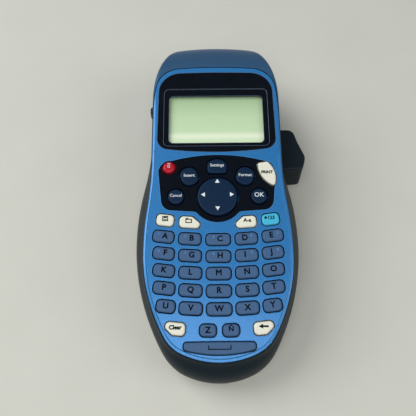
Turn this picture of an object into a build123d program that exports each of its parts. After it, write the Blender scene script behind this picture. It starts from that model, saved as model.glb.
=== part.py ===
"""Handheld label maker, lying on its back.

The housing is a dark rear tub and a blue front plate, with a hinged hood at the head end over the
tape bay. Forty-two keys slide down through the front plate on to one silicone mat. A lever on the
right side drives the cutter blade beside the label exit on the left. Four AA cells lie in the grip.

Millimetres. The origin is the centre of the flat rest face, +Y points to the head, +Z up.
"""
import math
import os

from build123d import *

# ---- Driving dimensions --------------------------------------------------------------------
GRIP_END_Y = -105.0  # the hand end of the rear housing
HEAD_END_Y = 102.5  # the far end of the hood
GRIP_HALF = 47.6  # half width of the rear housing at its widest
GRIP_WIDEST_Y = -26.0
HEAD_HALF = 38.0  # half width of the head just under the front face
HEAD_FLARE = 1.7  # how much wider the head is at the level of the widest line
FASCIA_HALF = 41.0
FASCIA_END_Y = -96.8
FASCIA_WIDEST_Y = -40.0
FASCIA_HEAD_HALF = 37.3
SEAM_Y = 77.0  # where the front plate ends and the hood begins
RIM = 0.9  # dark rim of the rear housing round the front plate
EDGE_ROUND = 2.0  # rounding of the edge where the sides meet the front face
WALL = 2.4
FLOOR = 2.2
PLATE = 2.4  # thickness of the front plate
FIT = 0.12  # gap between fixed pieces
REST_INSET = 6.0  # how far the rest face lies inside the widest outline
GROOVE_INSET, GROOVE_WIDTH, GROOVE_DEPTH = 1.2, 0.5, 1.0  # the shadow line round the front plate
GROOVE_END_Y = 20.0
PARTING_SLOPE = 0.1423  # rise of the front plate's edge along Y
FACE_START = (-97.0, 27.5, 18.0)  # y, z and slope in degrees where the face curve begins
FACE_ARCS = ((50.0, 9.0), (125.0, 3.0))  # length of each arc and the slope at its end
CAP_ARCS = ((35.0, -30.0), (14.0, -75.0))  # radius of each arc over the hood and its end slope

DECK_TILT = 10.0  # the keys, the mat and the main board share this slope
DECK_Y, DECK_Z = -40.0, 40.5
DECK_END_Y = 18.5  # the head end of the board under the keys
KEY_BOTTOM = -6.6  # under side of the key flanges, below the deck plane
KEY_FLANGE = 1.2
FLANGE_MARGIN = 0.7
HOLE_MARGIN = 0.45  # a hole is this much larger than the key shape drawn below
KEY_MARGIN = 0.3  # and the key itself this much smaller
KEY_ROUND = 1.0  # rounding of the rim of a key
KEY_RISE = 0.9  # height of a key above the face
MAT_TOP, MAT_THICK = -8.2, 1.0
BOARD_TOP, BOARD_THICK = -10.4, 1.6
SMILE_RADIUS = 235.0  # every key row follows an arc of this radius
ROW_PITCH = 9.3
FIRST_ROW_Y = -33.4
KEY_HEIGHT = 7.5

NAV_Y, NAV_RADIUS = -8.6, 11.6
LCD_Y, LCD_HALF, LCD_HEIGHT = 41.0, 28.0, 31.8
LCD_TILT = 4.2

CROWN_RADIUS = 160.0  # seen from above, the hood's brow follows an arc of this radius
CROWN_START_Y = 40.0
SEAM_GAP = 0.5  # gap between the front plate and the hood
SEAM_STEP_Z = 39.0  # above this level the hood's sides reach further forward
SEAM_STEP_Y = 60.5
HOOD_FRONT_Y = 47.0
HOOD_BOTTOM_Z = 6.5
HINGE_Y, HINGE_Z = 101.2, 5.0
HINGE_PIN = 1.0
HINGE_BORE = 1.06
HINGE_RING = 2.6
HINGE_LENGTH = 13.0

EXIT_Y, EXIT_HALF = 54.0, 0.9  # the slot that the finished label comes out of
EXIT_LOW, EXIT_HIGH = 12.0, 28.0
LIP_LOW, LIP_HIGH = 27.5, 34.5  # the lip over the end of the exit slot
LIP_SIZE = (4.6, 4.2)  # how far the lip reaches from inside the wall, and its length along Y
LIP_Y = 56.2
LEVER_TRAVEL = 6.0
LEVER_LOW, LEVER_HIGH = 8.0, 30.0
LEVER_FRONT, LEVER_BACK = 17.0, 46.0
BAR_LOW, BAR_HIGH = 31.2, 33.6  # the push bar that carries the lever's stroke across the head
BLADE_TRAVEL = 5.0
CELL_RADIUS, CELL_LENGTH = 7.25, 50.0
CELL_Y, CELL_Z = -53.0, 10.8
CELL_PITCH = 14.8
CELL_TIP, CELL_TIP_RADIUS = 1.2, 2.7
BATTERY_DOOR = (61.0, 55.0)
SPOOL_X, SPOOL_Y = 11.0, 73.0
ROLLER_X, ROLLER_Y = -27.0, 50.0
MOTOR_X, MOTOR_Y = 8.0, 30.0
CASSETTE_LOW, CASSETTE_HIGH = 11.0, 29.0
CASSETTE_POSTS = ((-18, 62), (20, 62), (-18, 82), (20, 82))  # the cassette stands on these
ROLLER_RADIUS, ROLLER_GEAR_RADIUS, IDLER_RADIUS = 4.0, 5.6, 9.0
ROLLER_LOW, ROLLER_HIGH = 10.0, 30.0
GEAR_LOW, GEAR_HIGH = 4.0, 7.0

deck = Plane(
    origin=(0, DECK_Y, DECK_Z),
    x_dir=(1, 0, 0),
    z_dir=(0, -math.sin(math.radians(DECK_TILT)), math.cos(math.radians(DECK_TILT))),
)
nodes = {}


# ---- Outlines of the housing ---------------------------------------------------------------
def quarter_radii(width, height, corner, first, second):
    """Radii of the end arc and the side arc that meet a corner arc over a quarter turn."""
    a = math.radians(first)
    b = math.radians(first + second)
    across = width - corner * (math.sin(b) - math.sin(a))
    along = height - corner * (math.cos(a) - math.cos(b))
    determinant = math.sin(a) * math.cos(b) - (1 - math.sin(b)) * (1 - math.cos(a))
    end_radius = (across * math.cos(b) - along * (1 - math.sin(b))) / determinant
    side_radius = (math.sin(a) * along - (1 - math.cos(a)) * across) / determinant
    return end_radius, side_radius


def housing_outline(grip_half, grip_end, widest_y, grip_corner, head_half, neck_y, shoulder_y, head_end,
                    head_corner):
    """One closed plan outline: grip end, swelling sides, slim head and rounded head corners."""
    radius, first, second = grip_corner
    end_radius, side_radius = quarter_radii(grip_half, widest_y - grip_end, radius, first, second)
    edges = [JernArc((0, grip_end), (1, 0), end_radius, first)]
    edges.append(JernArc(edges[-1] @ 1, edges[-1] % 1, radius, second))
    edges.append(JernArc(edges[-1] @ 1, edges[-1] % 1, side_radius, 90 - first - second))
    waist = 2 * math.atan2(grip_half - head_half, neck_y - widest_y)
    waist_radius = (neck_y - widest_y) / (2 * math.sin(waist))
    edges.append(JernArc((grip_half, widest_y), (0, 1), waist_radius, math.degrees(waist)))
    edges.append(JernArc(edges[-1] @ 1, edges[-1] % 1, waist_radius, -math.degrees(waist)))
    edges.append(Line((head_half, neck_y), (head_half, shoulder_y)))
    radius, first, second = head_corner
    end_radius, side_radius = quarter_radii(head_half, head_end - shoulder_y, radius, first, second)
    edges.append(JernArc((head_half, shoulder_y), (0, 1), side_radius, 90 - first - second))
    edges.append(JernArc(edges[-1] @ 1, edges[-1] % 1, radius, second))
    edges.append(JernArc(edges[-1] @ 1, edges[-1] % 1, end_radius, first))
    half = Wire(edges)
    return make_face(Wire([*half.edges(), *mirror(half, Plane.YZ).edges()]))


def body_outline(flare, inset):
    """Outline of the rear housing: flare 1 is its widest line, 0 the edge of the front plate."""
    return housing_outline(
        grip_half=FASCIA_HALF + RIM + (GRIP_HALF - FASCIA_HALF - RIM) * flare - inset,
        grip_end=FASCIA_END_Y - RIM + (GRIP_END_Y - FASCIA_END_Y + RIM) * flare + inset,
        widest_y=FASCIA_WIDEST_Y + (GRIP_WIDEST_Y - FASCIA_WIDEST_Y) * flare,
        grip_corner=(20.0 + 8.0 * flare - inset, 25.0, 36.0),
        head_half=HEAD_HALF + HEAD_FLARE * flare - inset,
        neck_y=14.0 + 30.0 * flare,
        shoulder_y=56.0,
        head_end=HEAD_END_Y - inset,
        head_corner=(17.0 - inset, 30.0, 32.0),
    )


def fascia_outline(inset):
    """Outline of the front plate, whose far end is the arched seam to the hood."""
    return housing_outline(
        grip_half=FASCIA_HALF - inset,
        grip_end=FASCIA_END_Y + inset,
        widest_y=FASCIA_WIDEST_Y,
        grip_corner=(20.0 - inset, 25.0, 36.0),
        head_half=FASCIA_HEAD_HALF - inset,
        neck_y=14.0,
        shoulder_y=44.0,
        head_end=SEAM_Y - inset,
        head_corner=(15.0 - inset, 5.0, 76.0),
    )


def prism(outline, low, high):
    return extrude(Pos(0, 0, low) * outline, high - low)


# ---- Side profile --------------------------------------------------------------------------
def face_height(y):
    """Height of the front face at y, from the grip end to the seam."""
    start_y, height, slope = FACE_START
    for length, end_slope in FACE_ARCS:
        radius = length / math.radians(slope - end_slope)
        reach = radius * (math.sin(math.radians(slope)) - math.sin(math.radians(end_slope)))
        if y <= start_y + reach or end_slope == FACE_ARCS[-1][1]:
            here = math.asin(math.sin(math.radians(slope)) - (y - start_y) / radius)
            return height + radius * (math.cos(here) - math.cos(math.radians(slope)))
        height += radius * (math.cos(math.radians(end_slope)) - math.cos(math.radians(slope)))
        start_y += reach
        slope = end_slope
    return height


def under_face(drop):
    """Everything below the front face and the hood, lowered by drop."""
    start_y, start_z, slope = FACE_START
    lead = 14.0
    tangent = (math.cos(math.radians(slope)), math.sin(math.radians(slope)))
    edges = [Line((start_y - lead * tangent[0], start_z - lead * tangent[1]), (start_y, start_z))]
    for length, end_slope in FACE_ARCS:
        turn = slope - end_slope
        edges.append(JernArc(edges[-1] @ 1, edges[-1] % 1, length / math.radians(turn), -turn))
        slope = end_slope
    for radius, end_slope in CAP_ARCS:
        edges.append(JernArc(edges[-1] @ 1, edges[-1] % 1, radius, end_slope - slope))
        slope = end_slope
    tail = edges[-1] @ 1 + (edges[-1] % 1) * lead
    edges.append(Line(edges[-1] @ 1, tail))
    bottom = -20.0
    head = edges[0] @ 0
    edges.append(Polyline(tail, (tail.X, bottom), (head.X, bottom), head))
    section = make_face(Wire([edge for piece in edges for edge in piece.edges()]))
    return Pos(0, 0, -drop) * extrude(Plane.YZ * section, 80, both=True)


# ---- Housing solids ------------------------------------------------------------------------
def tilted(outline, height_at_zero, slope):
    """An outline lifted on to the plane z = height_at_zero + slope * y."""
    plane = Plane(origin=(0, 0, height_at_zero), x_dir=(1, 0, 0), z_dir=(0, -slope, 1))
    stretched = scale(outline, by=(1, math.hypot(1, slope), 1))
    return plane * stretched


def housing_solid(inset, bottom):
    """The whole outer shape, or with an inset the space inside the walls."""
    edge_level = FACE_START[1] - PARTING_SLOPE * (FASCIA_END_Y - RIM)
    sections = [
        tilted(body_outline(1.0, max(REST_INSET, inset + 2.0)), bottom, 0),
        tilted(body_outline(1.0, 2.4 + inset), 2.4 + bottom, 0.004),
        tilted(body_outline(1.0, 0.6 + inset), 8.5, 0.015),
        tilted(body_outline(1.0, inset), 17.0, 0.04),
        tilted(body_outline(0.6, inset), 31.0, 0.09),
        tilted(body_outline(0.0, inset), edge_level, PARTING_SLOPE),
        tilted(body_outline(0.0, inset), edge_level + 7.0, PARTING_SLOPE),
        tilted(body_outline(0.0, inset), edge_level + 16.0, PARTING_SLOPE),
    ]
    return loft(sections)


outer = housing_solid(0.0, 0.0)
inner = housing_solid(WALL, FLOOR)
below_face = under_face(0.0)


def round_top(shape, from_y):
    """Rounds the outer edge of the top faces, wherever it lies beyond from_y."""
    top_faces = [face for face in shape.faces() if face.normal_at().Z > 0.2 and face.center().Z > 24]
    met = {}
    for face in top_faces:
        for edge in face.edges():
            place = (round(edge.center().X, 3), round(edge.center().Y, 3))
            met.setdefault(place, []).append(edge)
    outside = [edges[0] for place, edges in met.items() if len(edges) == 1 and place[1] > from_y]
    return fillet(outside, EDGE_ROUND)


body = round_top(outer & below_face, GRIP_END_Y)


# ---- Front plate, hood and rear housing ----------------------------------------------------
def box_between(low, high):
    """A box given by two opposite corners."""
    size = [b - a for a, b in zip(low, high)]
    return Pos(*low) * Box(*size, align=(Align.MIN, Align.MIN, Align.MIN))


def rod(start, end, radius):
    """A round bar between two points."""
    axis = Vector(*end) - Vector(*start)
    return extrude(Plane(origin=start, z_dir=axis) * Circle(radius), axis.length)


below_plate = under_face(PLATE)
centre_y = HEAD_END_Y - CROWN_RADIUS
meridian = (below_face & box_between((-1, centre_y, -5), (1, 130, 80))).faces().sort_by(Axis.X)[0]
turning = Axis((0, centre_y, 0), (0, 0, 1))
crown = revolve(Pos(1, 0, 0) * meridian, turning, 360).rotate(turning, 180)
head_part = outer & crown & box_between((-60, CROWN_START_Y, -5), (60, 130, 80))
crowned = round_top(head_part, CROWN_START_Y + 1)
fascia_prism = prism(fascia_outline(0.0), 10, 70)
fascia_pocket = prism(fascia_outline(-FIT), 10, 70)
hood_space = box_between((-60, SEAM_STEP_Y, HOOD_BOTTOM_Z), (60, 120, 70)) + box_between(
    (-60, HOOD_FRONT_Y, SEAM_STEP_Z), (60, 120, 70)
)
hood_room = box_between((-60, SEAM_STEP_Y - 0.3, HOOD_BOTTOM_Z - 0.3), (60, 120, 70)) + box_between(
    (-60, HOOD_FRONT_Y - 0.3, SEAM_STEP_Z - 0.3), (60, 120, 70)
)

hood = (crowned & hood_space) - (inner & below_plate) - prism(fascia_outline(-SEAM_GAP), 10, 70)
hood = hood - box_between((-36.0, 40, 0), (36.0, 62, 70))
rear = body - hood_room - inner - (fascia_pocket & Pos(0, 0, -PLATE - FIT) * (under_face(-20) - below_face))

# Hinge: a ring on the hood turns on a pin held between two ears of the rear housing.
def hinge_rod(low_x, high_x, radius):
    return rod((low_x, HINGE_Y, HINGE_Z), (high_x, HINGE_Y, HINGE_Z), radius)


ring_end = HINGE_LENGTH / 2
neck = box_between((-ring_end, HINGE_Y - 1.9, HINGE_Z + 1.2), (ring_end, HINGE_Y + 0.6, HOOD_BOTTOM_Z + 3.0))
hood += hinge_rod(-ring_end, ring_end, HINGE_RING) + neck
hood -= hinge_rod(-ring_end - 1, ring_end + 1, HINGE_BORE)
rear -= hinge_rod(-ring_end - 0.4, ring_end + 0.4, HINGE_RING + 0.45)
rear -= box_between((-ring_end - 0.4, HINGE_Y - 0.5, HINGE_Z), (ring_end + 0.4, 110, 12))
for side in (-1, 1):
    near, far = sorted((side * (ring_end + 0.4), side * (ring_end + 3.4)))
    rear += hinge_rod(near, far, 2.2)
    hood -= hinge_rod(near - 0.4, far + 0.4, 2.7)
rear += hinge_rod(-ring_end - 1.5, ring_end + 1.5, HINGE_PIN)


# ---- Windows, recesses and keys of the front plate -----------------------------------------
def rounded(width, height, radius=2.6):
    return RectangleRounded(width, height, radius)


def lens_outline(inset):
    """Display panel: arched top, straight sides and a bottom edge that bows to the grip."""
    half = 34.8
    section = make_face(
        Wire(
            [
                ThreePointArc((-half, 21.7), (0, 18.9), (half, 21.7)),
                Line((half, 21.7), (half - 0.6, 72.4)),
                ThreePointArc((half - 0.6, 72.4), (0, 73.4), (0.6 - half, 72.4)),
                Line((0.6 - half, 72.4), (-half, 21.7)),
            ]
        )
    )
    corners = section.vertices().sort_by(Axis.Y)
    section = fillet(corners[2:], 13.5)
    section = fillet(section.vertices().sort_by(Axis.Y)[:2], 7.0)
    return offset(section, -inset) if inset else section


def panel_outline():
    """Control panel: arched top, rounded corners and a lobe round the four-way key."""
    section = make_face(
        Wire(
            [
                ThreePointArc((-31.2, -16.0), (0, -17.6), (31.2, -16.0)),
                Line((31.2, -16.0), (34.0, 10.8)),
                ThreePointArc((34.0, 10.8), (0, 17.0), (-34.0, 10.8)),
                Line((-34.0, 10.8), (-31.2, -16.0)),
            ]
        )
    )
    section = fillet(section.vertices(), 6.0)
    whole = section + Pos(0, NAV_Y) * Circle(15.0)
    inward = [v for v in whole.vertices() if abs(v.X) < 16 and v.Y < NAV_Y]
    return fillet(inward, 3.5)


def cut_corner(width, height, sign_x, sign_y, cut_x, cut_y):
    """A rounded rectangle with one corner sloped off; the signs pick the corner."""
    outline = rounded(width, height)
    x, y = sign_x * width / 2, sign_y * height / 2
    ends = [(x - sign_x * cut_x, y), (x, y - sign_y * cut_y)]
    outline = outline - make_face(Polyline((x, y), ends[0], ends[1], (x, y)))
    blunt = [v for v in outline.vertices() if min(math.dist((v.X, v.Y), end) for end in ends) < 0.1]
    return fillet(blunt, 2.0)


def settings_shape():
    """Straight bottom edge, full round top."""
    return rounded(11.8, 9.6, 2.4) & Pos(0, -2.1) * Circle(6.9)


def print_shape():
    """A leaf whose point leans to the lower right."""
    leaf = make_face(
        Wire(
            [
                ThreePointArc((-5.2, 6.6), (-2.9, -2.3), (4.2, -8.0)),
                ThreePointArc((4.2, -8.0), (4.9, 0.6), (0.6, 7.6)),
                Line((0.6, 7.6), (-5.2, 6.6)),
            ]
        )
    )
    return fillet(leaf.vertices(), 1.4)


def space_shape():
    """Long bar with a nearly straight top and a bowed bottom."""
    bar = make_face(
        Wire(
            [
                ThreePointArc((-19.2, 3.1), (0, 3.3), (19.2, 3.1)),
                Line((19.2, 3.1), (19.2, -1.0)),
                ThreePointArc((19.2, -1.0), (0, -3.7), (-19.2, -1.0)),
                Line((-19.2, -1.0), (-19.2, 3.1)),
            ]
        )
    )
    return fillet(bar.vertices(), 1.8)


def deck_place(x, y, angle=0.0):
    """Where a key over plan point x, y lies on the deck plane, turned by angle."""
    tilt = math.radians(DECK_TILT)
    along = (y - DECK_Y) * math.cos(tilt) + (face_height(y) - DECK_Z) * math.sin(tilt)
    return Pos(x, along) * Rot(0, 0, angle)


def smile(x, y):
    """A place on the row whose middle is at y: the outer keys sit higher and lean."""
    return deck_place(x, y + x * x / (2 * SMILE_RADIUS), math.degrees(x / SMILE_RADIUS))


small_round = Circle(4.8)
keys = {
    "on_off": (Circle(3.9), deck_place(-27.6, 9.2)),
    "insert": (rounded(10.6, 11.6, 4.9), deck_place(-15.9, 3.6, 20)),
    "settings": (settings_shape(), deck_place(0, 9.8)),
    "format": (rounded(10.6, 11.6, 4.9), deck_place(15.9, 3.6, -20)),
    "print": (print_shape(), deck_place(28.4, 5.2)),
    "cancel": (small_round, deck_place(-23.4, -8.6)),
    "nav_pad": (Circle(NAV_RADIUS), deck_place(0, NAV_Y)),
    "ok": (small_round, deck_place(23.4, -8.6)),
    "save": (rounded(10.2, 7.2), smile(-29.2, -24.0)),
    "recall": (cut_corner(12.0, 7.2, 1, 1, 4.6, 3.6), smile(-15.6, -24.0)),
    "capitals": (cut_corner(12.0, 7.2, -1, 1, 4.6, 3.6), smile(15.6, -24.0)),
    "numbers": (rounded(10.2, 7.2), smile(29.2, -24.0)),
    "clear": (cut_corner(11.2, 7.2, -1, -1, 4.2, 3.4), smile(-23.4, -81.4)),
    "key_z": (rounded(9.2, 6.9), smile(-6.1, -81.3)),
    "key_n_tilde": (rounded(9.2, 6.9), smile(6.1, -81.3)),
    "backspace": (cut_corner(11.2, 7.2, 1, -1, 4.2, 3.4), smile(23.4, -81.4)),
    "space": (space_shape(), deck_place(0, -89.9)),
}
COLUMN_X = (-30.0, -15.5, 0.0, 15.5, 30.0)
COLUMN_NARROWING = (0.2, 0.1, 0.0, -0.1, -0.2)  # each row steps in by this much
COLUMN_WIDTH = (12.0, 12.7, 13.8, 12.7, 12.0)
for row, letters in enumerate(("abcde", "fghij", "klmno", "pqrst", "uvwxy")):
    for column, letter in enumerate(letters):
        x = COLUMN_X[column] + COLUMN_NARROWING[column] * row
        width = COLUMN_WIDTH[column]
        if row == 4 and column in (0, 4):
            width -= 1.6
            x -= math.copysign(0.8, x)
        place = smile(x, FIRST_ROW_Y - ROW_PITCH * row)
        keys["key_" + letter] = (rounded(width, KEY_HEIGHT - HOLE_MARGIN), place)

key_limit = Pos(0, 0, KEY_RISE) * below_face
holes = []
RIM_ROUNDING = {"on_off": 1.6, "space": 0.6, "print": 0.8}  # where it isn't KEY_ROUND
for name, (shape, place) in keys.items():
    stem = extrude(deck.offset(KEY_BOTTOM) * place * offset(shape, -KEY_MARGIN), 20)
    cap = stem & key_limit
    rim = cap.faces().sort_by(Axis.Z)[-1].edges()
    flange = extrude(deck.offset(KEY_BOTTOM) * place * offset(shape, FLANGE_MARGIN), KEY_FLANGE)
    nodes[name] = fillet(rim, RIM_ROUNDING.get(name, KEY_ROUND)) + flange
    holes.append(extrude(deck.offset(KEY_BOTTOM - 2) * place * offset(shape, HOLE_MARGIN), 24))

lens_depth, panel_depth = 1.5, 1.2
front = (fascia_prism & body) - below_plate
above_lens_seat = under_face(-20) - under_face(lens_depth)
above_panel_seat = under_face(-20) - under_face(panel_depth)
lens_prism = prism(lens_outline(0.0), 20, 80)
panel_prism = prism(panel_outline(), 20, 80)
lcd_window = prism(Pos(0, LCD_Y) * rounded(2 * LCD_HALF, LCD_HEIGHT, 2.6), 20, 80)
lcd_opening = prism(Pos(0, LCD_Y) * rounded(2 * LCD_HALF + 3, LCD_HEIGHT + 3, 2.6), 20, 80)
front = front - (prism(lens_outline(-FIT), 20, 80) & above_lens_seat) - lcd_opening
front = front - (prism(offset(panel_outline(), FIT), 20, 80) & above_panel_seat)
groove = prism(fascia_outline(GROOVE_INSET), 20, 80)
groove -= prism(fascia_outline(GROOVE_INSET + GROOVE_WIDTH), 20, 80)
groove_depth = under_face(-20) - under_face(GROOVE_DEPTH)
front = front - (groove & groove_depth & box_between((-60, -110, 0), (60, GROOVE_END_Y, 80)))
front = front - holes

display = (lens_prism & below_face) - under_face(lens_depth)
recess = prism(Pos(0, LCD_Y + 1.1) * rounded(62.0, 38.6, 3.0), 20, 80)
display = display - (recess & (under_face(-20) - under_face(0.7))) - lcd_window
panel = (panel_prism & below_face) - under_face(panel_depth) - holes
panel = panel.solids().sort_by(SortBy.VOLUME)[-1]

nodes["front_housing"] = front
nodes["display_lens"] = display
nodes["control_panel"] = panel

# ---- Keypad mat, main board and display module ---------------------------------------------
deck_area = prism(fascia_outline(5.5), 0, 80) & box_between((-60, -110, 0), (60, DECK_END_Y, 80))
mat_area = prism(fascia_outline(4.5), 0, 80) & box_between((-60, -110, 0), (60, DECK_END_Y + 1, 80))


def deck_slab(top, thickness):
    """A slab that lies along the deck and reaches past the housing on all sides."""
    return extrude(deck.offset(top - thickness) * Rectangle(160, 320), thickness)


nodes["keypad_mat"] = deck_slab(MAT_TOP, MAT_THICK) & mat_area
board = deck_slab(BOARD_TOP, BOARD_THICK) & deck_area
CHIPS = ((-14, 10, (12, 12, 2)), (12, -12, (9, 9, 2)), (0, 38, (16, 6, 2.4)))  # under the board
for x, along, size in CHIPS:
    board += deck.offset(BOARD_TOP - BOARD_THICK - size[2] / 2) * Pos(x, along) * Box(*size)
nodes["main_board"] = board
lcd_plane = Plane(
    origin=(0, LCD_Y, face_height(LCD_Y) - PLATE - 0.5),
    x_dir=(1, 0, 0),
    z_dir=(0, -math.sin(math.radians(LCD_TILT)), math.cos(math.radians(LCD_TILT))),
)
nodes["lcd_module"] = extrude(lcd_plane * rounded(62, 37, 1.5), -4.0)

# ---- Batteries and their door --------------------------------------------------------------
cells = []
for i in range(4):
    x = (i - 1.5) * CELL_PITCH
    start = CELL_Y - CELL_LENGTH / 2
    shoulder = start + CELL_LENGTH - CELL_TIP
    can = rod((x, start, CELL_Z), (x, shoulder, CELL_Z), CELL_RADIUS)
    tip = rod((x, shoulder - 0.2, CELL_Z), (x, start + CELL_LENGTH, CELL_Z), CELL_TIP_RADIUS)
    cells.append(can + tip)
nodes["batteries"] = Compound(children=cells)

door_x, door_y = BATTERY_DOOR
door_low = CELL_Y - door_y / 2
opening = box_between((-door_x / 2 - 0.4, door_low - 0.8, -1), (door_x / 2 + 0.4, door_low + door_y + 0.4, 5))
rear -= opening
door = box_between((-door_x / 2, door_low, 0), (door_x / 2, door_low + door_y, 2.0))
door_edges = door.edges().filter_by(Axis.X).group_by(Axis.Y)[0]
nodes["battery_door"] = fillet(door_edges, 0.9)

# ---- Label exit and cutter -----------------------------------------------------------------
lip = box_between((-36.4 - LIP_SIZE[0], LIP_Y, LIP_LOW), (-36.4, LIP_Y + LIP_SIZE[1], LIP_HIGH))
rear += fillet(lip.edges().filter_by(Axis.X, reverse=True).group_by(Axis.X)[0], 1.3)
slot = box_between((-50, EXIT_Y - EXIT_HALF, EXIT_LOW), (-30, EXIT_Y + EXIT_HALF, EXIT_HIGH))
rear -= slot

lever_corners = ((34.0, 16.5), (52.6, 17.6), (55.0, 26.0), (51.0, 36.5), (48.4, 46.0), (34.0, 46.0))
lever_face = make_face(Polyline(*lever_corners, lever_corners[0]))
for corner, radius in zip(lever_corners[1:5], (2.6, 7.0, 12.0, 4.5)):
    turned = [v for v in lever_face.vertices() if math.dist((v.X, v.Y), corner) < 0.1]
    lever_face = fillet(turned, radius)
lever = prism(lever_face, LEVER_LOW, LEVER_HIGH)
for end, radius in ((-1, 1.2), (0, 2.4)):
    rim = [e for e in lever.faces().sort_by(Axis.Z)[end].edges() if e.center().X > 35]
    lever = fillet(rim, radius)
rear -= box_between((30, LEVER_FRONT - 0.7, LEVER_LOW - 0.7), (60, LEVER_BACK + 0.7, LEVER_HIGH + 0.7))
flange = box_between((31.5, LEVER_FRONT - 2, LEVER_LOW + 2), (34.2, LEVER_BACK + 1.5, LEVER_HIGH - 2))
push_bar = box_between((-24.0, 40.5, BAR_LOW), (33.0, 43.5, BAR_HIGH))
push_bar += box_between((31.5, 40.5, LEVER_HIGH - 4), (33.0, 43.5, BAR_HIGH))
slope = BLADE_TRAVEL / LEVER_TRAVEL
nose = Polyline(
    (-28.6, 40.5), (-23.0, 40.5), (-23.0, 43.5 + 6.0 * slope), (-28.6, 43.5 + 0.4 * slope), (-28.6, 40.5)
)
nodes["cutter_lever"] = lever + flange + push_bar + prism(make_face(nose), BAR_LOW, BAR_HIGH)
blade = box_between((-35.4, 44.0, 11.0), (-34.6, 51.0, BAR_HIGH + 1.0))
carriage = box_between((-34.8, 44.0, BAR_LOW), (-29.0, 47.0, BAR_HIGH + 1.0))
nodes["cutter_blade"] = blade + carriage

# ---- Tape cassette, print head, platen roller and drive -------------------------------------
cassette = box_between((-23.0, 57.0, CASSETTE_LOW), (25.0, 87.5, CASSETTE_HIGH))
cassette = fillet(cassette.edges().filter_by(Axis.Z), 4.0)
spool_bore = rod((SPOOL_X, SPOOL_Y, CASSETTE_LOW - 1), (SPOOL_X, SPOOL_Y, CASSETTE_HIGH + 1), 7.4)
nodes["tape_cassette"] = cassette - spool_bore
spool = rod((SPOOL_X, SPOOL_Y, CASSETTE_LOW + 0.5), (SPOOL_X, SPOOL_Y, CASSETTE_HIGH - 0.5), 7.0)
hub_hole = rod((SPOOL_X, SPOOL_Y, CASSETTE_LOW - 1), (SPOOL_X, SPOOL_Y, CASSETTE_HIGH + 1), 2.6)
nodes["tape_spool"] = spool - hub_hole
rear += rod((SPOOL_X, SPOOL_Y, 1.0), (SPOOL_X, SPOOL_Y, CASSETTE_HIGH), 2.2)
for x, y in CASSETTE_POSTS:
    rear += rod((x, y, 1.0), (x, y, CASSETTE_LOW), 2.5)


def upright(x, y, low, high, radius):
    """A round bar that stands along Z."""
    return rod((x, y, low), (x, y, high), radius)


roller = upright(ROLLER_X, ROLLER_Y, ROLLER_LOW, ROLLER_HIGH, ROLLER_RADIUS)
roller += upright(ROLLER_X, ROLLER_Y, GEAR_LOW, GEAR_HIGH, ROLLER_GEAR_RADIUS)
roller += upright(ROLLER_X, ROLLER_Y, GEAR_HIGH - 0.1, ROLLER_LOW + 0.1, 2.4)
roller -= upright(ROLLER_X, ROLLER_Y, GEAR_LOW - 1, ROLLER_HIGH + 1, 1.06)
nodes["platen_roller"] = roller
rear += upright(ROLLER_X, ROLLER_Y, 1.0, ROLLER_HIGH + 0.5, 1.0)

IDLER_X = ROLLER_X + ROLLER_GEAR_RADIUS + 0.3 + IDLER_RADIUS
idler = upright(IDLER_X, ROLLER_Y, GEAR_LOW, GEAR_HIGH, IDLER_RADIUS)
idler -= upright(IDLER_X, ROLLER_Y, GEAR_LOW - 1, GEAR_HIGH + 1, 1.56)
nodes["idler_gear"] = idler
rear += upright(IDLER_X, ROLLER_Y, 1.0, GEAR_HIGH + 1, 1.5)

nodes["drive_motor"] = rod((MOTOR_X, MOTOR_Y, 4.5), (MOTOR_X, MOTOR_Y, 27.0), 10.0) + rod(
    (MOTOR_X, MOTOR_Y, 26.9), (MOTOR_X, MOTOR_Y, 29.5), 1.2
)
rear += box_between((MOTOR_X - 8, MOTOR_Y - 8, 1.0), (MOTOR_X + 8, MOTOR_Y + 8, 4.5))
nodes["print_head"] = box_between((-33.0, 54.4, 10.0), (-25.0, 57.4, 30.0))
rear += box_between((-33.0, 56.1, 1.0), (-25.0, 57.4, 10.0))

nodes["cassette_door"] = hood
nodes["rear_housing"] = rear

os.makedirs("parts", exist_ok=True)
for name, solid in nodes.items():
    export_step(solid, "parts/" + name + ".step")
print(len(nodes), "nodes")
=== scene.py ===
# %% [markdown]
# # A handheld label maker
# The object is an electronic label maker that lies on its back: a dark grip shell, a painted front plate,
# two glossy black panels, a keypad and a hinged hood over the tape. The CAD frame is already exact, so the
# work here is what the eye judges: moulded, painted and rubber surfaces, printed legends and the display.

# %% The frame
import math

import bpy
from mathutils import Matrix, Vector


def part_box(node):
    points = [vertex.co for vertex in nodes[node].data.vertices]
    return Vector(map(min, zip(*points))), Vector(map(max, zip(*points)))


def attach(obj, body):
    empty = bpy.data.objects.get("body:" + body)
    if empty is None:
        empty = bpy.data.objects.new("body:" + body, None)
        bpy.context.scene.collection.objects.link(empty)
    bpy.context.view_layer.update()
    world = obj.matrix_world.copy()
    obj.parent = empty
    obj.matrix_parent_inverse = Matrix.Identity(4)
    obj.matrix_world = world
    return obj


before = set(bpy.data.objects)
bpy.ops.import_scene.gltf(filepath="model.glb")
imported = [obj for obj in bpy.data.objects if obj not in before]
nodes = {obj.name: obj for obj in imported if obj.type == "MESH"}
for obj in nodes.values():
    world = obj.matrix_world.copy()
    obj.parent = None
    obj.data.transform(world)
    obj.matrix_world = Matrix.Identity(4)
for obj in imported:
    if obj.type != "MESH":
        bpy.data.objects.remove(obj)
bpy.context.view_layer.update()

# %% [markdown]
# ## Colours, scales and a node helper
# A colour picker shows sRGB values, but Blender's shaders work in linear light, so every colour goes through
# one conversion. The frame is in metres, so pattern scales are worked out from real sizes in millimetres.

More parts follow.
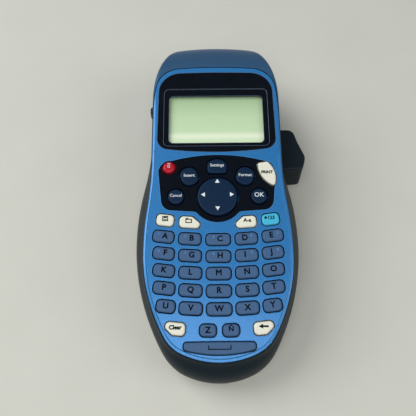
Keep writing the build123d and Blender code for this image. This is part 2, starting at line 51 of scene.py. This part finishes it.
# %% Helpers for materials
MM = 0.001
GRAIN_DEPTH = 0.05 * MM
TONE_SPREAD = (0.3, 0.7)  # where in the noise the two tones begin and end


def srgb(text):
    """A hex colour as linear red, green, blue and alpha, by the sRGB standard's own curve."""
    parts = [int(text[i:i + 2], 16) / 255 for i in (1, 3, 5)]
    linear = [p / 12.92 if p <= 0.04045 else ((p + 0.055) / 1.055) ** 2.4 for p in parts]
    return (*linear, 1.0)


def per_mm(size):
    """The scale of a pattern whose features are size millimetres across."""
    return 1.0 / (size * MM)


def add_node(tree, kind, settings=None, inputs=None):
    """Adds one node; inputs maps a socket name to a value, or to the output that feeds it."""
    node = tree.nodes.new(kind)
    for name, value in (settings or {}).items():
        setattr(node, name, value)
    for name, value in (inputs or {}).items():
        if isinstance(value, bpy.types.NodeSocket):
            tree.links.new(value, node.inputs[name])
        else:
            node.inputs[name].default_value = value
    return node


def material(name, surface):
    """A material, its node tree and its shader; surface maps the shader's sockets to constants."""
    made = bpy.data.materials.new(name)
    made.use_nodes = True
    shader = made.node_tree.nodes["Principled BSDF"]
    for socket, value in surface.items():
        shader.inputs[socket].default_value = value
    return made, made.node_tree, shader


def object_coordinates(tree):
    """Places in the shared frame, so a pattern stays put on its piece."""
    return add_node(tree, "ShaderNodeTexCoord").outputs["Object"]


def speckled(tree, shader, colours, grain_mm, bump_mm, strength):
    """Mottles the colour between two tones, adds a fine grain and returns the colour ramp."""
    place = object_coordinates(tree)
    noise = add_node(
        tree, "ShaderNodeTexNoise", None, {"Vector": place, "Scale": per_mm(grain_mm), "Detail": 3.0}
    )
    ramp = add_node(tree, "ShaderNodeValToRGB", None, {"Fac": noise.outputs["Fac"]})
    for tone, position, colour in zip(ramp.color_ramp.elements, TONE_SPREAD, colours):
        tone.position = position
        tone.color = srgb(colour)
    tree.links.new(ramp.outputs["Color"], shader.inputs["Base Color"])
    grain = add_node(
        tree, "ShaderNodeTexNoise", None, {"Vector": place, "Scale": per_mm(bump_mm), "Detail": 2.0}
    )
    bump = add_node(
        tree,
        "ShaderNodeBump",
        None,
        {"Strength": strength, "Distance": GRAIN_DEPTH, "Height": grain.outputs["Fac"]},
    )
    tree.links.new(bump.outputs["Normal"], shader.inputs["Normal"])
    return ramp


print("0.1 mm grain has scale", per_mm(0.1))

# %% [markdown]
# ## Painted ABS of the front plate and hood
# The blue parts are ABS sprayed with a metallic lacquer: small flakes catch the light one by one, so the
# colour is not even, and a clear top coat gives a second, tighter highlight. Real flakes are too fine to
# show here, so they are drawn about half a millimetre wide. A mask on the surface's own direction paints
# the walls of the key holes and the groove, and the hood's end faces towards the keys, dark: painted shade
# for these narrow gaps.

# %% Blue metallic lacquer
HOLE_WALL = 0.4  # on the plate, a face whose normal rises less than this is the wall of a hole
HOOD_END = -0.7  # on the hood, a face whose normal has less Y than this looks at the keys


def painted_gap_shade(tree, shader, painted, axis, steep, colour):
    """Paints shade, a dark colour, where the surface's own normal along axis is less than steep, as in a
    narrow gap.
    """
    facing = add_node(tree, "ShaderNodeTexCoord").outputs["Normal"]
    parts = add_node(tree, "ShaderNodeSeparateXYZ", None, {"Vector": facing})
    below = add_node(
        tree, "ShaderNodeMath", {"operation": "LESS_THAN"}, {0: parts.outputs[axis], 1: steep}
    )
    mix = add_node(
        tree,
        "ShaderNodeMix",
        {"data_type": "RGBA"},
        {"Factor": below.outputs["Value"], "A": painted.outputs["Color"], "B": srgb(colour)},
    )
    tree.links.new(mix.outputs["Result"], shader.inputs["Base Color"])


blue_lacquer, tree, shader = material(
    "metallic lacquer on ABS",
    {"Metallic": 0.3, "Roughness": 0.36, "Coat Weight": 0.3, "Coat Roughness": 0.2, "IOR": 1.45},
)
painted = speckled(tree, shader, ("#2674b6", "#358ace"), grain_mm=0.45, bump_mm=0.35, strength=0.3)
# painted shade: the walls of the key holes and the groove are dark, as in a narrow gap
painted_gap_shade(tree, shader, painted, "Z", HOLE_WALL, "#04101f")
hood_lacquer, tree, shader = material(
    "metallic lacquer on the hood",
    {"Metallic": 0.3, "Roughness": 0.42, "Coat Weight": 0.2, "Coat Roughness": 0.3, "IOR": 1.45},
)
painted = speckled(tree, shader, ("#31567a", "#3a648a"), grain_mm=0.5, bump_mm=0.35, strength=0.3)
# painted shade: the hood's end faces, in the gap towards the keys, are dark
painted_gap_shade(tree, shader, painted, "Y", HOOD_END, "#0a1c30")
print(blue_lacquer.name, "and", hood_lacquer.name)

# %% [markdown]
# ## Moulded and glossy plastics
# The grip shell is dark ABS from a spark-eroded mould, so it is matt with a fine grain. The two panels are
# gloss black acrylic, polished, and reflect the room. The control keys are moulded navy ABS with a low
# sheen, and the letter keys are silicone rubber, which is duller and slightly mottled. The cream, turquoise
# and red keys are ABS from a smoother mould, a little shinier, so that they stand out. One function makes
# them all, because only the colours and the gloss differ.

# %% Dark ABS, acrylic and key plastics
dark_abs, tree, shader = material(
    "ABS, dark, spark-eroded", {"Roughness": 0.5, "IOR": 1.45, "Specular IOR Level": 0.3}
)
speckled(tree, shader, ("#0c1920", "#12212a"), grain_mm=0.8, bump_mm=0.25, strength=0.35)
acrylic, tree, shader = material(
    "acrylic, gloss black", {"Roughness": 0.14, "IOR": 1.4, "Coat Weight": 0.05, "Coat Roughness": 0.05}
)
speckled(tree, shader, ("#01060f", "#030b18"), grain_mm=6.0, bump_mm=3.0, strength=0.02)


def key_plastic(name, colours, roughness, gloss=0.5):
    """A moulded key material; gloss is the specular level."""
    made, tree, shader = material(name, {"Roughness": roughness, "IOR": 1.42, "Specular IOR Level": gloss})
    speckled(tree, shader, colours, grain_mm=0.6, bump_mm=0.3, strength=0.2)
    return made


navy_abs = key_plastic("ABS, navy", ("#031d33", "#06294a"), 0.45, 0.25)
cream_abs = key_plastic("ABS, cream", ("#e4e3d2", "#edecdc"), 0.42)
turquoise_abs = key_plastic("ABS, turquoise", ("#3fb2d6", "#4dc0e2"), 0.42)
red_abs = key_plastic("ABS, red", ("#a80c22", "#bd142c"), 0.3)
slate_silicone = key_plastic("silicone rubber, slate", ("#39597f", "#44668e"), 0.6, 0.4)
dark_silicone = key_plastic("silicone rubber, dark", ("#0e1a30", "#16233c"), 0.6)
tape_abs = key_plastic("ABS, light grey", ("#b9b8b0", "#c6c5bd"), 0.45)
print("key plastics:", navy_abs.name, cream_abs.name, turquoise_abs.name, red_abs.name)

# %% [markdown]
# ## Metals, board and rubber inside
# These parts show only when the hood or battery door is open, but each still gets its real finish: ground
# steel with fine scratches blurred to a grain, green solder mask over epoxy glass, matt nitrile rubber and
# the metallic printed jacket of the cells.

# %% Steel, circuit board, rubber and battery jacket
steel, tree, shader = material("steel, ground", {"Metallic": 1.0, "Roughness": 0.32})
speckled(tree, shader, ("#9a9da1", "#a9acb0"), grain_mm=0.4, bump_mm=0.2, strength=0.15)
solder_mask, tree, shader = material("epoxy glass board with solder mask", {"Roughness": 0.35})
speckled(tree, shader, ("#0d4a2c", "#125a36"), grain_mm=2.0, bump_mm=0.5, strength=0.1)
roller_rubber, tree, shader = material("nitrile rubber", {"Roughness": 0.75})
speckled(tree, shader, ("#141414", "#1d1d1d"), grain_mm=0.6, bump_mm=0.2, strength=0.3)
cell_jacket, tree, shader = material("printed cell jacket", {"Metallic": 0.7, "Roughness": 0.3})
speckled(tree, shader, ("#a8742e", "#c08a3c"), grain_mm=8.0, bump_mm=1.0, strength=0.03)

# %% [markdown]
# ## The liquid crystal display
# A reflective display is a sandwich of glass over a pale mirror film. It looks grey-green. Its colour runs
# along the display's own length as painted light: a little brighter towards its lower edge, which faces the
# light, with a painted reflection band near that edge.

# %% Display glass
MARGIN = 2.5 * MM  # hidden behind the window's edge
# painted reflection: a bright band near the lower edge of the display
PAINTED_GLARE_BANDS = ((0.1, "#dbefc9"), (0.18, "#effade"), (0.28, "#cce5bc"), (0.6, "#c4deb4"))
lcd_glass, tree, shader = material(
    "liquid crystal glass", {"Roughness": 0.12, "IOR": 1.52, "Coat Weight": 0.4, "Coat Roughness": 0.03}
)
low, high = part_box("lcd_module")
place = add_node(tree, "ShaderNodeSeparateXYZ", None, {"Vector": object_coordinates(tree)})
along = add_node(
    tree,
    "ShaderNodeMapRange",
    None,
    {"Value": place.outputs["Y"], "From Min": low[1] + MARGIN, "From Max": high[1] - MARGIN},
)
ramp = add_node(tree, "ShaderNodeValToRGB", None, {"Fac": along.outputs["Result"]})
# painted light: the display fades from bright at its lower edge to darker at its upper edge
ramp.color_ramp.elements[0].color = srgb("#dcf0cb")
ramp.color_ramp.elements[1].color = srgb("#a9c69c")
for position, tint in PAINTED_GLARE_BANDS:
    ramp.color_ramp.elements.new(position).color = srgb(tint)
tree.links.new(ramp.outputs["Color"], shader.inputs["Base Color"])
print("display runs from", low[1], "to", high[1])

# %% [markdown]
# ## Give every CAD node its finish
# The CAD nodes already have their real shape, so only their material changes. A dictionary names the nodes
# with a finish of their own, and every node that is left is a letter key.

# %% Assign materials
finishes = {
    "rear_housing": dark_abs,
    "battery_door": dark_abs,
    "cutter_lever": dark_abs,
    "front_housing": blue_lacquer,
    "cassette_door": hood_lacquer,
    "control_panel": acrylic,
    "display_lens": acrylic,
    "lcd_module": lcd_glass,
    "keypad_mat": dark_silicone,
    "main_board": solder_mask,
    "tape_cassette": tape_abs,
    "tape_spool": tape_abs,
    "idler_gear": tape_abs,
    "platen_roller": roller_rubber,
    "print_head": steel,
    "drive_motor": steel,
    "cutter_blade": steel,
    "batteries": cell_jacket,
    "on_off": red_abs,
    "numbers": turquoise_abs,
}
for name in ("print", "save", "recall", "capitals", "clear", "backspace"):
    finishes[name] = cream_abs
for name in ("insert", "settings", "format", "cancel", "ok", "nav_pad"):
    finishes[name] = navy_abs
for name, node in nodes.items():
    for held in node.material_slots:
        held.material = finishes.get(name, slate_silicone)
print("finished nodes:", len(nodes))

# %% [markdown]
# ## Edges that catch the light
# No moulded edge is sharp. The rims of the key holes, of the shadow groove and of the display recess are
# rolled over by a tenth of a millimetre or two, and each shows as a thin bright line. A bevel on the whole
# plate would disturb its smooth shading, so the rims are lifted off a copy and given a round section. Their
# colour is a painted highlight, paler than the lacquer and greyer than the acrylic, because a rounded edge
# faces every lamp.

# %% Rolled rims
DOWN = Vector((0, 0, -1))
HIGH_ABOVE = 0.1  # metres, well clear of the object
MERGE = 0.002 * MM
RIM_RADIUS = 0.13 * MM
PLATE_RIMS_END = 18 * MM  # beyond this the plate has no key holes
LENS_RIMS_END = 1.0  # metres, so every rim of the lens is kept
TOP_FACE = 0.9  # a face whose normal rises more than this is a top
SIDE_FACE = 0.3  # a face whose normal rises less than this is a wall


def select_only(pieces):
    """Selects these pieces alone and makes the first one active."""
    bpy.ops.object.select_all(action="DESELECT")
    for piece in pieces:
        piece.select_set(True)
    bpy.context.view_layer.objects.active = pieces[0]


def covered_by_panel(point):
    """Whether the control panel lies over a point."""
    above = point + Vector((0, 0, HIGH_ABOVE))
    return nodes["control_panel"].ray_cast(above, DOWN)[0]


def select_rims(mesh, end_y, skip_covered):
    """Selects the edges where a top face meets a wall, up to end_y."""
    slopes = {}
    for face in mesh.polygons:
        for edge in face.edge_keys:
            slopes.setdefault(edge, []).append(face.normal.z)
    for edge in mesh.edges:
        beside = slopes.get(edge.key, [])
        middle = (mesh.vertices[edge.vertices[0]].co + mesh.vertices[edge.vertices[1]].co) / 2
        steep = len(beside) == 2 and max(beside) > TOP_FACE and abs(min(beside)) < SIDE_FACE
        covered = steep and skip_covered and covered_by_panel(middle)
        edge.select = steep and not covered and middle.y < end_y


def rolled_rims(node_name, colour, name, end_y, skip_covered):
    """Round beads along the edges where a node's top face drops into a hole or a groove.

    They end at end_y, and skip_covered leaves out those that lie under the control panel.
    """
    piece = nodes[node_name].copy()
    piece.data = nodes[node_name].data.copy()
    bpy.context.scene.collection.objects.link(piece)
    select_only([piece])
    bpy.ops.object.mode_set(mode="EDIT")
    bpy.ops.mesh.select_mode(type="EDGE")
    bpy.ops.mesh.select_all(action="SELECT")
    bpy.ops.mesh.remove_doubles(threshold=MERGE)
    bpy.ops.mesh.select_all(action="DESELECT")
    bpy.ops.object.mode_set(mode="OBJECT")
    select_rims(piece.data, end_y, skip_covered)
    bpy.ops.object.mode_set(mode="EDIT")
    bpy.ops.mesh.separate(type="SELECTED")
    bpy.ops.object.mode_set(mode="OBJECT")
    rims = [held for held in bpy.context.selected_objects if held is not piece][0]
    bpy.data.objects.remove(piece)
    rims.name = name
    select_only([rims])
    bpy.ops.object.mode_set(mode="EDIT")
    bpy.ops.mesh.select_all(action="SELECT")
    bpy.ops.mesh.delete(type="ONLY_FACE")
    bpy.ops.object.mode_set(mode="OBJECT")
    bpy.ops.object.convert(target="CURVE")
    rims.data.bevel_depth = RIM_RADIUS
    rims.data.bevel_resolution = 1
    rims.data.use_fill_caps = True
    bpy.ops.object.convert(target="MESH")
    bpy.ops.object.shade_smooth()
    rims = bpy.context.object
    rims.data.materials.clear()
    rims.data.materials.append(colour)
    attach(rims, "housing")
    return rims


# painted highlight: the rim lacquer is paler than the plate's lacquer
rim_highlight_lacquer, tree, shader = material(
    "metallic lacquer on the rims, painted highlight",
    {"Metallic": 0.2, "Roughness": 0.3, "Coat Weight": 0.4, "Coat Roughness": 0.15, "IOR": 1.45},
)
speckled(tree, shader, ("#3f8fd2", "#4c9cdc"), grain_mm=0.45, bump_mm=0.35, strength=0.1)
# painted highlight: the rim acrylic is grey where the panel's acrylic is black
rim_highlight_acrylic, tree, shader = material("acrylic on the rims, painted highlight", {"Roughness": 0.2, "IOR": 1.5})
speckled(tree, shader, ("#46586a", "#506274"), grain_mm=3.0, bump_mm=1.0, strength=0.02)
plate_rims = rolled_rims("front_housing", rim_highlight_lacquer, "plate_rims", PLATE_RIMS_END, True)
recess_rims = rolled_rims("display_lens", rim_highlight_acrylic, "recess_rims", LENS_RIMS_END, False)
print("faces in the rims:", len(plate_rims.data.polygons), len(recess_rims.data.polygons))

# %% [markdown]
# ## Printed legends
# A legend is ink a few hundredths of a millimetre thick. Each one starts as text or a simple filled shape,
# becomes a mesh, and is laid on its key where a ray from above meets the key, along the key's own slope.

# %% Ink
INK = 0.05 * MM  # half its thickness, drawn thicker than real ink so that it shows


def ink(name, colours):
    """Screen-printed ink: dull, with the slightest unevenness."""
    made, tree, shader = material(name, {"Roughness": 0.8, "Specular IOR Level": 0.1})
    speckled(tree, shader, colours, grain_mm=0.2, bump_mm=0.1, strength=0.15)
    return made


dark_ink = ink("screen ink, navy", ("#040a18", "#08101f"))
white_ink = ink("screen ink, white", ("#dfe6ea", "#eaf0f2"))
sky_ink = ink("screen ink, sky blue", ("#4f92cc", "#5a9dd6"))
print("inks:", dark_ink.name, white_ink.name, sky_ink.name)

# %% Laying a legend on a key
def lay_on(piece, node_name, dx, dy, turn=0.0):
    """Moves a flat mesh drawn round the origin to the top of a node, dx and dy from its middle."""
    node = nodes[node_name]
    low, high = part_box(node_name)
    centre = Vector(((low[0] + high[0]) / 2, (low[1] + high[1]) / 2, 0))
    start = centre + Vector((dx, dy, HIGH_ABOVE))
    point, normal = node.ray_cast(start, DOWN)[1:3]
    across = Vector((math.cos(turn), math.sin(turn), 0))
    across = (across - normal * across.dot(normal)).normalized()
    up = normal.cross(across)
    turned = Matrix((across, up, normal)).transposed().to_4x4()
    piece.data.transform(Matrix.Translation(point + normal * INK) @ turned)
    piece.data.update()


# %% Letters and simple shapes in ink
CAPITAL_HEIGHT = 0.7  # of the type size


def lettering(text, height, boldness=0.05):
    """Filled letters as a mesh; a bevel makes their strokes bolder, then they are flattened."""
    bpy.ops.object.select_all(action="DESELECT")
    bpy.ops.object.text_add(location=(0, 0, 0))
    piece = bpy.context.object
    piece.data.body = text
    piece.data.size = height / CAPITAL_HEIGHT
    piece.data.align_x = "CENTER"
    piece.data.align_y = "CENTER"
    piece.data.bevel_depth = boldness * height
    piece.data.bevel_resolution = 0
    piece.data.resolution_u = 3
    bpy.ops.object.convert(target="MESH")
    piece = bpy.context.object
    piece.data.transform(Matrix.Diagonal((1, 1, INK / (boldness * height), 1)))
    return piece


def bar(width, height, x=0.0, y=0.0):
    """A thin inked rectangle."""
    bpy.ops.object.select_all(action="DESELECT")
    bpy.ops.mesh.primitive_cube_add(size=1)
    piece = bpy.context.object
    piece.data.transform(Matrix.Translation((x, y, 0)) @ Matrix.Diagonal((width, height, 2 * INK, 1)))
    return piece


def disc(radius, sides, x=0.0, y=0.0, turn=0.0):
    """A thin inked disc, or a triangle with three sides."""
    bpy.ops.object.select_all(action="DESELECT")
    bpy.ops.mesh.primitive_cylinder_add(vertices=sides, radius=radius, depth=2 * INK)
    piece = bpy.context.object
    piece.data.transform(Matrix.Translation((x, y, 0)) @ Matrix.Rotation(turn, 4, "Z"))
    return piece


def joined(parts):
    """One mesh from several."""
    select_only(parts)
    bpy.ops.object.join()
    return bpy.context.object


def print_on(piece, node_name, colour, dx=0.0, dy=0.0, turn=0.0, tag="legend"):
    """Finishes a legend: lays it on its key, inks it and lets it ride with the key."""
    lay_on(piece, node_name, dx, dy, turn)
    piece.name = node_name + "_" + tag
    piece.data.materials.clear()
    piece.data.materials.append(colour)
    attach(piece, node_name)
    return piece


print("ink is", 2 * INK / MM, "mm thick")

# %% [markdown]
# ## The alphabet
# Each letter key has a capital, and the first ten also carry a small digit in sky blue beside it, on the
# side away from the keypad's middle, and on the left of the two middle keys. The rows are arcs, so each
# legend turns with its key.

# %% Letters
ROW_RADIUS = 235 * MM
CAPITAL = 3.1 * MM
DIGIT = 1.5 * MM
TILDE_CAPITAL = 2.6 * MM
MAKE_ROOM = 0.9 * MM  # the capital moves this far from the middle to make room for the digit
DIGIT_ASIDE = 2.6 * MM
DIGIT_UP = 0.2 * MM
CAPITAL_DOWN = 0.9 * MM  # to the middle of the key's flat top
TILDE_DOWN = 0.4 * MM
LEFT_DIGITS = "abcfgh"


def row_turn(node_name):
    """The angle by which a key, and so its legend, turns along its row."""
    low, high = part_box(node_name)
    return (low[0] + high[0]) / 2 / ROW_RADIUS


digits = dict(zip("abcdefghij", "1234567890"))
for letter in "abcdefghijklmnopqrstuvwxyz":
    name = "key_" + letter
    shift = 0.0
    if letter in digits:
        side = -1 if letter in LEFT_DIGITS else 1
        shift = -side * MAKE_ROOM
        mark = lettering(digits[letter], DIGIT)
        print_on(mark, name, sky_ink, side * DIGIT_ASIDE, DIGIT_UP, row_turn(name), "second")
    print_on(lettering(letter.upper(), CAPITAL), name, dark_ink, shift, -CAPITAL_DOWN, row_turn(name))
n_tilde = lettering("Ñ", TILDE_CAPITAL)
print_on(n_tilde, "key_n_tilde", dark_ink, 0, -TILDE_DOWN, row_turn("key_n_tilde"))
print("letters printed, with", len(digits), "digits")

# %% [markdown]
# ## Words
# The control keys carry plain words, in white on navy and in navy on cream. The white strokes are thin and
# the dark ones bold, so that both read equally strong against their key.

# %% Words on the control keys
WORD_DOWN = 0.4 * MM
THIN = 0.015  # of the letter height
BOLD = 0.07
words = {
    "insert": ("Insert", 1.9, white_ink),
    "settings": ("Settings", 1.8, white_ink),
    "format": ("Format", 1.8, white_ink),
    "cancel": ("Cancel", 1.7, white_ink),
    "ok": ("OK", 2.6, white_ink),
    "print": ("PRINT", 1.7, dark_ink),
    "clear": ("Clear", 2.1, dark_ink),
}
for name, (word, size, colour) in words.items():
    boldness = BOLD if colour is dark_ink else THIN
    print_on(lettering(word, size * MM, boldness), name, colour, 0, -WORD_DOWN)
print("words printed:", len(words))

# %% [markdown]
# ## Symbols
# The symbols are generic ones: four arrows, a back arrow, a disk, a folder, a star, a power mark and the
# bracket of the space bar. Each is a few bars and triangles joined into one thin mesh.

# %% Arrows and the letter case mark
ARROW_OUT = 7.8 * MM  # from the middle of the four-way key
ARROW_SIZE = 1.5 * MM
for index in range(4):
    angle = index * math.pi / 2
    arrow = disc(ARROW_SIZE, 3, 0, 0, angle - math.pi / 2)
    out = (ARROW_OUT * math.cos(angle), ARROW_OUT * math.sin(angle))
    print_on(arrow, "nav_pad", white_ink, *out, 0, "arrow_%d" % index)
head = disc(ARROW_SIZE, 3, -1.2 * MM, 0, math.pi / 2)
arrow = joined([head, bar(3.0 * MM, 0.9 * MM, 1.0 * MM, 0)])
print_on(arrow, "backspace", dark_ink, 0, -0.2 * MM)
print_on(lettering("A-a", 2.1 * MM), "capitals", dark_ink, 0.6 * MM, -0.4 * MM)
print("arrows printed")

# %% Disk, folder, star, bracket and power mark
LINE = 0.45 * MM


def open_box(width, height, line, extra):
    """The outline of a rectangle, as four bars, with more bars added to it."""
    x, y = (width - line) / 2, (height - line) / 2
    sides = [bar(width, line, 0, sign * y) for sign in (-1, 1)]
    sides += [bar(line, height, sign * x, 0) for sign in (-1, 1)]
    return joined(sides + extra)


shutter = [bar(1.7 * MM, 0.9 * MM, 0, 0.7 * MM), bar(1.9 * MM, 0.4 * MM, 0, -0.6 * MM)]
disk = open_box(3.2 * MM, 2.9 * MM, LINE, shutter)
print_on(disk, "save", dark_ink, 0, -0.3 * MM)
folder = open_box(3.6 * MM, 2.3 * MM, LINE, [bar(1.5 * MM, 0.6 * MM, -0.9 * MM, 1.3 * MM)])
print_on(folder, "recall", dark_ink, -0.5 * MM, -0.5 * MM)
star = joined([disc(1.0 * MM, 3, -3.0 * MM, 0, turn) for turn in (0, math.pi)])
print_on(joined([star, lettering("123", 1.9 * MM)]), "numbers", dark_ink, 0.3 * MM, -0.3 * MM)
ends = [bar(0.5 * MM, 2.3 * MM, side * 5.8 * MM, -0.1 * MM) for side in (-1, 1)]
bracket = joined([bar(12 * MM, 0.5 * MM, 0, -1 * MM)] + ends)
print_on(bracket, "space", dark_ink, 0, -0.3 * MM)
power_mark = open_box(1.3 * MM, 1.7 * MM, 0.25 * MM, [bar(1.8 * MM, 0.25 * MM, 0, 1.7 * MM)])
print_on(power_mark, "on_off", white_ink, 0, -0.2 * MM)
print("symbols printed")

# %% [markdown]
# ## Floor
# The object lies on a sheet of pale matt paper, wide enough that its edge is never near.

# %% Floor
FLOOR_SIZE = 8.0
bpy.ops.object.select_all(action="DESELECT")
bpy.ops.mesh.primitive_plane_add(size=FLOOR_SIZE)
floor = bpy.context.object
floor.name = "floor"
paper, tree, shader = material("paper, pale grey", {"Roughness": 0.85})
speckled(tree, shader, ("#cfcfc5", "#d2d2c8"), grain_mm=40.0, bump_mm=3.0, strength=0.05)
floor.data.materials.append(paper)
print("floor is", FLOOR_SIZE, "m wide")

# %% [markdown]
# ## Light
# Three large soft lamps: the key lamp, at the left of the head end, shapes the hood, a weaker one fills
# the right side, and one in front lights the keys. Bigger lamps would lose the soft shadow that
# holds the object to the floor. The standard view transform keeps the lacquer as saturated as it is.

# %% Lamps
LAMPS = {
    "key_lamp": ((-0.9, 0.35, 1.0), 12, 1.0),
    "fill_lamp": ((1.0, -0.3, 0.9), 4.5, 0.9),
    "front_lamp": ((-0.15, -0.6, 1.1), 5.5, 0.8),
}


def lamp(name, place, watts, size):
    """A square soft lamp that faces the origin."""
    bpy.ops.object.light_add(type="AREA", location=place)
    light = bpy.context.object
    light.name = name
    light.data.energy = watts
    light.data.size = size
    light.rotation_euler = (-Vector(place)).to_track_quat("-Z", "Y").to_euler()


for name, (place, watts, size) in LAMPS.items():
    lamp(name, place, watts, size)
bpy.context.scene.view_settings.view_transform = "Standard"
print("lamps:", ", ".join(LAMPS))

# %% [markdown]
# ## The room
# The air of a room gives a little light from all sides. Seen directly, though, the room is a pale wall, so
# the world is a mix: rays from the camera see the wall, and all other rays meet the dim air.

# %% Room
AIR_STRENGTH = 0.18
WALL_STRENGTH = 0.7
world = bpy.data.worlds.new("room")
bpy.context.scene.world = world
world.use_nodes = True
dim_air = world.node_tree.nodes["Background"]
dim_air.inputs["Color"].default_value = srgb("#e6eaee")
dim_air.inputs["Strength"].default_value = AIR_STRENGTH
wall_light = {"Color": srgb("#d9d9d2"), "Strength": WALL_STRENGTH}
wall = add_node(world.node_tree, "ShaderNodeBackground", None, wall_light)
seen = add_node(world.node_tree, "ShaderNodeLightPath").outputs["Is Camera Ray"]
either = add_node(
    world.node_tree,
    "ShaderNodeMixShader",
    None,
    {0: seen, 1: dim_air.outputs["Background"], 2: wall.outputs["Background"]},
)
surface = world.node_tree.nodes["World Output"].inputs["Surface"]
world.node_tree.links.new(either.outputs["Shader"], surface)
print("the air has strength", AIR_STRENGTH)

# %% [markdown]
# ## Camera
# The camera looks down steeply from the grip end, as a person does who is about to type. It is placed by
# two angles and a distance from the point it looks at, and it needs no shift.

# %% Camera
ELEVATION = math.radians(64)
AZIMUTH = math.radians(-0.6)
DISTANCE = 0.3127
LOOK = Vector((-0.0054, -0.0153, 0.044))
SENSOR_WIDTH = 36  # mm
LENS = SENSOR_WIDTH * 35 / 26  # mm, close to a normal lens
camera_data = bpy.data.cameras.new("camera")
camera_data.sensor_width = SENSOR_WIDTH
camera_data.lens = LENS
camera = bpy.data.objects.new("camera", camera_data)
bpy.context.scene.collection.objects.link(camera)
level = DISTANCE * math.cos(ELEVATION)
height = DISTANCE * math.sin(ELEVATION)
away = Vector((math.sin(AZIMUTH) * level, -math.cos(AZIMUTH) * level, height))
camera.location = LOOK + away
camera.rotation_euler = (math.pi / 2 - ELEVATION, 0, AZIMUTH)
bpy.context.scene.camera = camera
print("camera at", tuple(camera.location))
